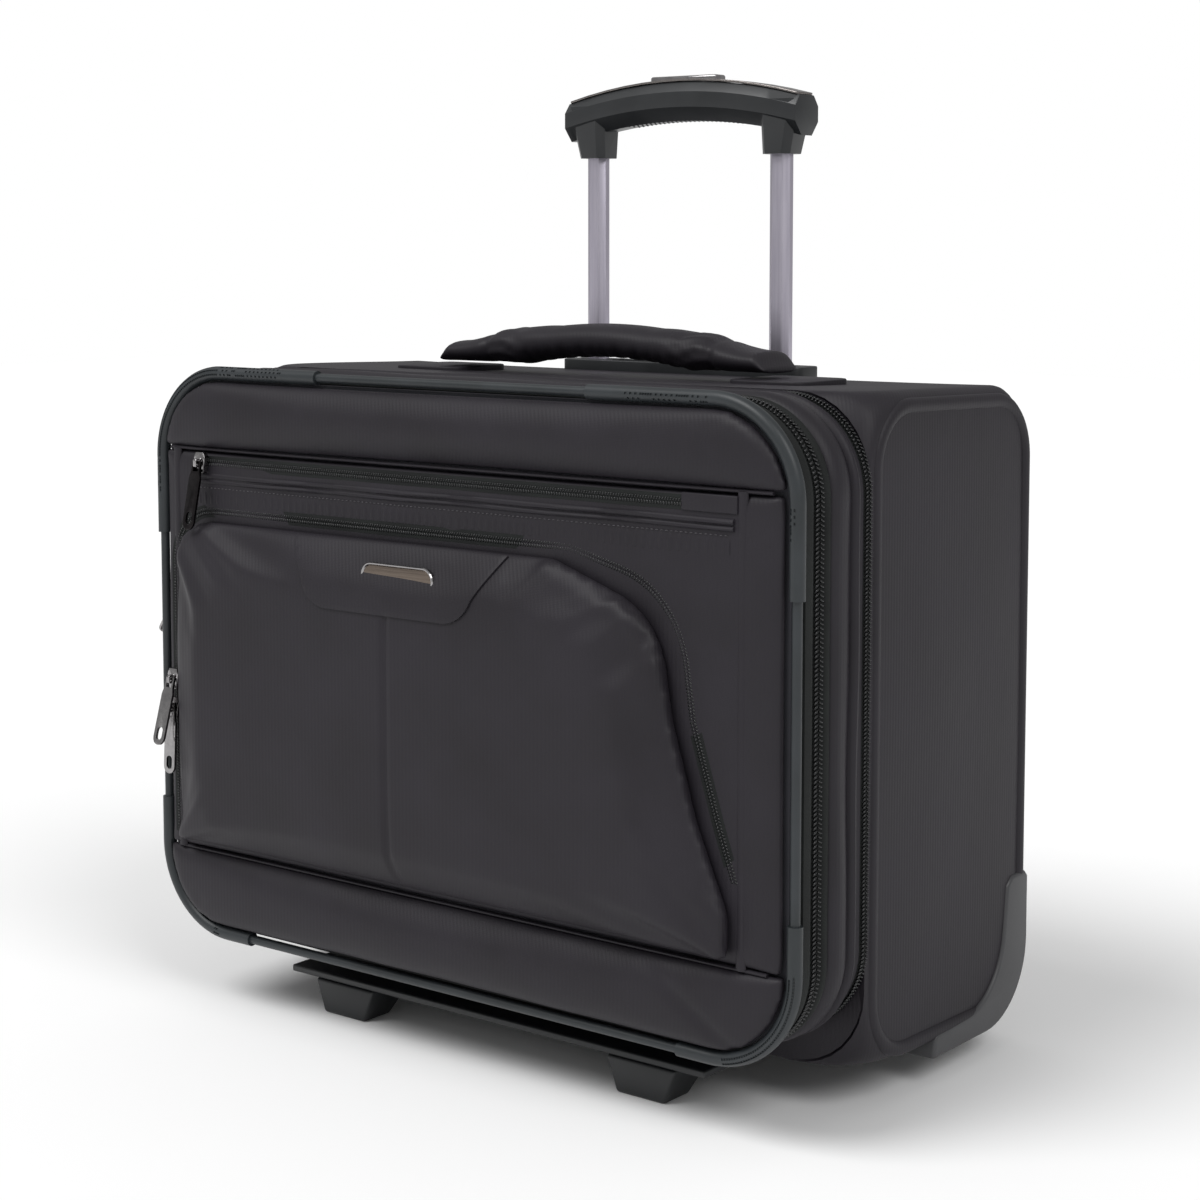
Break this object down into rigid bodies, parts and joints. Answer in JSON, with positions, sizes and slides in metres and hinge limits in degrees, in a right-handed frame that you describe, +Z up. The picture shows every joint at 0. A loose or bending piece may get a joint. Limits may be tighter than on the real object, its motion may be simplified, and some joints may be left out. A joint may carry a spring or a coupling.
{
  "type": "pilot rolling flight case",
  "caption": "Soft-sided pilot flight case on wheels, with front pockets, an organiser section and main compartment that zip open, a carry handle and a telescopic handle.",
  "frame": {"origin": "on the floor under the centre of the whole object at rest", "axes": "+X to the right seen from the front, -Y out of the front pockets, +Z up"},
  "size_m": [0.4776, 0.2636, 0.548],
  "materials": {
    "case_fabric": "fine black nylon with a soft sheen",
    "lining": "plain woven polyester",
    "guard_rubber": "satin moulded rubber, perforated",
    "moulded_plastic": "fine grained",
    "zip_tape": "knitted tape with polyester coil",
    "anodised_aluminium": "satin anodised",
    "mill_aluminium": "as drawn",
    "bright_nickel": "polished",
    "steel": "turned",
    "badge_bronze": "brushed dark bronze",
    "tyre": "matt rubber"
  },
  "bodies": {
    "case": {"rear_shell": "case_fabric", "rear_lining_panel": "lining", "main_zip_rear_half": "zip_tape", "base_platform": "moulded_plastic", "front_foot_left": "guard_rubber", "front_foot_right": "guard_rubber", "outer_tube_left": "mill_aluminium", "outer_tube_right": "mill_aluminium", "tube_bracket": "moulded_plastic", "handle_tray": "moulded_plastic", "wheel_guard_left": "moulded_plastic", "wheel_guard_right": "moulded_plastic", "axle_left": "steel", "axle_right": "steel"},
    "wheel_left": {"tyre_left": "tyre", "wheel_hub_left": "moulded_plastic"},
    "wheel_right": {"tyre_right": "tyre", "wheel_hub_right": "moulded_plastic"},
    "middle_stage": {"middle_tube_left": "anodised_aluminium", "middle_tube_right": "anodised_aluminium"},
    "top_stage": {"top_tube_left": "anodised_aluminium", "top_tube_right": "anodised_aluminium", "grip": "moulded_plastic", "grip_cover": "bright_nickel"},
    "button": {"release_button": "bright_nickel", "release_rod_left": "steel", "release_rod_right": "steel"},
    "carry_handle": {"carry_handle": "case_fabric"},
    "organiser": {"organiser_tray": "case_fabric", "main_zip_front_half": "zip_tape", "front_zip_rear_half": "zip_tape", "laptop_sleeve": "lining"},
    "front_flap": {"flap_board": "case_fabric", "front_zip_front_half": "zip_tape", "top_band": "case_fabric", "bottom_band": "case_fabric", "upper_pocket_panel": "case_fabric", "lower_pocket_panel": "case_fabric", "upper_pocket_zip": "zip_tape", "lower_pocket_zip": "zip_tape", "badge": "badge_bronze", "edge_piping": "guard_rubber", "corner_guard_top_left": "guard_rubber", "corner_guard_top_right": "guard_rubber", "corner_guard_bottom_left": "guard_rubber", "corner_guard_bottom_right": "guard_rubber"},
    "slider_upper_pocket": {"slider_upper_pocket": "bright_nickel"},
    "puller_upper_pocket": {"puller_upper_pocket": "bright_nickel"},
    "slider_lower_pocket_a": {"slider_lower_pocket_a": "bright_nickel"},
    "puller_lower_pocket_a": {"puller_lower_pocket_a": "bright_nickel"},
    "slider_lower_pocket_b": {"slider_lower_pocket_b": "bright_nickel"},
    "puller_lower_pocket_b": {"puller_lower_pocket_b": "bright_nickel"},
    "slider_front_zip_a": {"slider_front_zip_a": "bright_nickel"},
    "puller_front_zip_a": {"puller_front_zip_a": "bright_nickel"},
    "slider_front_zip_b": {"slider_front_zip_b": "bright_nickel"},
    "puller_front_zip_b": {"puller_front_zip_b": "bright_nickel"},
    "slider_main_zip_a": {"slider_main_zip_a": "bright_nickel"},
    "puller_main_zip_a": {"puller_main_zip_a": "bright_nickel"},
    "slider_main_zip_b": {"slider_main_zip_b": "bright_nickel"},
    "puller_main_zip_b": {"puller_main_zip_b": "bright_nickel"}
  },
  "joints": [
    {"name": "wheel_left_spin", "type": "hinge", "parent": "case", "child": "wheel_left", "pos_m": [-0.17865, 0.10428, 0.0275], "axis": [1, 0, 0], "continuous": true},
    {"name": "wheel_right_spin", "type": "hinge", "parent": "case", "child": "wheel_right", "pos_m": [0.20135, 0.10428, 0.0275], "axis": [1, 0, 0], "continuous": true},
    {"name": "middle_stage_slide", "type": "slide", "parent": "case", "child": "middle_stage", "axis": [0, 0, 1], "range_m": [0, 0.25]},
    {"name": "top_stage_slide", "type": "slide", "parent": "middle_stage", "child": "top_stage", "axis": [0, 0, 1], "range_m": [-0.1225, 0.13]},
    {"name": "button_press", "type": "slide", "parent": "top_stage", "child": "button", "axis": [0, 0, -1], "range_m": [0, 0.003], "stiffness_N_per_m": 400, "springref_m": -0.004},
    {"name": "carry_handle_tilt", "type": "hinge", "parent": "case", "child": "carry_handle", "pos_m": [0.01135, 0.03358, 0.3767], "axis": [1, 0, 0], "range_deg": [-15, 15]},
    {"name": "organiser_swing", "type": "hinge", "parent": "case", "child": "organiser", "pos_m": [0.01135, -0.04358, 0.042], "axis": [1, 0, 0], "range_deg": [0, 20]},
    {"name": "front_flap_swing", "type": "hinge", "parent": "organiser", "child": "front_flap", "pos_m": [0.01135, -0.08837, 0.042], "axis": [1, 0, 0], "range_deg": [0, 60]},
    {"name": "slider_upper_pocket_slide", "type": "slide", "parent": "front_flap", "child": "slider_upper_pocket", "axis": [1, 0, 0], "range_m": [0, 0.32]},
    {"name": "puller_upper_pocket_swing", "type": "hinge", "parent": "slider_upper_pocket", "child": "puller_upper_pocket", "pos_m": [-0.17065, -0.12026, 0.323], "axis": [-1, 0, 0], "range_deg": [0, 110]},
    {"name": "slider_lower_pocket_a_slide", "type": "slide", "parent": "front_flap", "child": "slider_lower_pocket_a", "axis": [0, 0, 1], "range_m": [0, 0.06]},
    {"name": "puller_lower_pocket_a_swing", "type": "hinge", "parent": "slider_lower_pocket_a", "child": "puller_lower_pocket_a", "pos_m": [-0.19615, -0.12026, 0.194], "axis": [-1, 0, 0], "range_deg": [0, 100]},
    {"name": "slider_lower_pocket_b_slide", "type": "slide", "parent": "front_flap", "child": "slider_lower_pocket_b", "axis": [0, 0, -1], "range_m": [0, 0.06]},
    {"name": "puller_lower_pocket_b_swing", "type": "hinge", "parent": "slider_lower_pocket_b", "child": "puller_lower_pocket_b", "pos_m": [-0.19615, -0.12026, 0.177], "axis": [-1, 0, 0], "range_deg": [-2, 14]},
    {"name": "slider_front_zip_a_slide", "type": "slide", "parent": "organiser", "child": "slider_front_zip_a", "axis": [0, 0, 1], "range_m": [0, 0.07]},
    {"name": "puller_front_zip_a_swing", "type": "hinge", "parent": "slider_front_zip_a", "child": "puller_front_zip_a", "pos_m": [-0.21628, -0.08837, 0.2465], "axis": [0, 1, 0], "range_deg": [-30, 85]},
    {"name": "slider_front_zip_b_slide", "type": "slide", "parent": "organiser", "child": "slider_front_zip_b", "axis": [0, 0, -1], "range_m": [0, 0.085]},
    {"name": "puller_front_zip_b_swing", "type": "hinge", "parent": "slider_front_zip_b", "child": "puller_front_zip_b", "pos_m": [-0.21628, -0.08837, 0.19], "axis": [0, 1, 0], "range_deg": [-23, 92]},
    {"name": "slider_main_zip_a_slide", "type": "slide", "parent": "organiser", "child": "slider_main_zip_a", "axis": [0, 0, 1], "range_m": [0, 0.07]},
    {"name": "puller_main_zip_a_swing", "type": "hinge", "parent": "slider_main_zip_a", "child": "puller_main_zip_a", "pos_m": [-0.21628, -0.04372, 0.235], "axis": [0, 1, 0], "range_deg": [-6, 110]},
    {"name": "slider_main_zip_b_slide", "type": "slide", "parent": "organiser", "child": "slider_main_zip_b", "axis": [0, 0, -1], "range_m": [0, 0.07]},
    {"name": "puller_main_zip_b_swing", "type": "hinge", "parent": "slider_main_zip_b", "child": "puller_main_zip_b", "pos_m": [-0.21628, -0.04372, 0.18], "axis": [0, 1, 0], "range_deg": [-6, 110]}
  ]
}
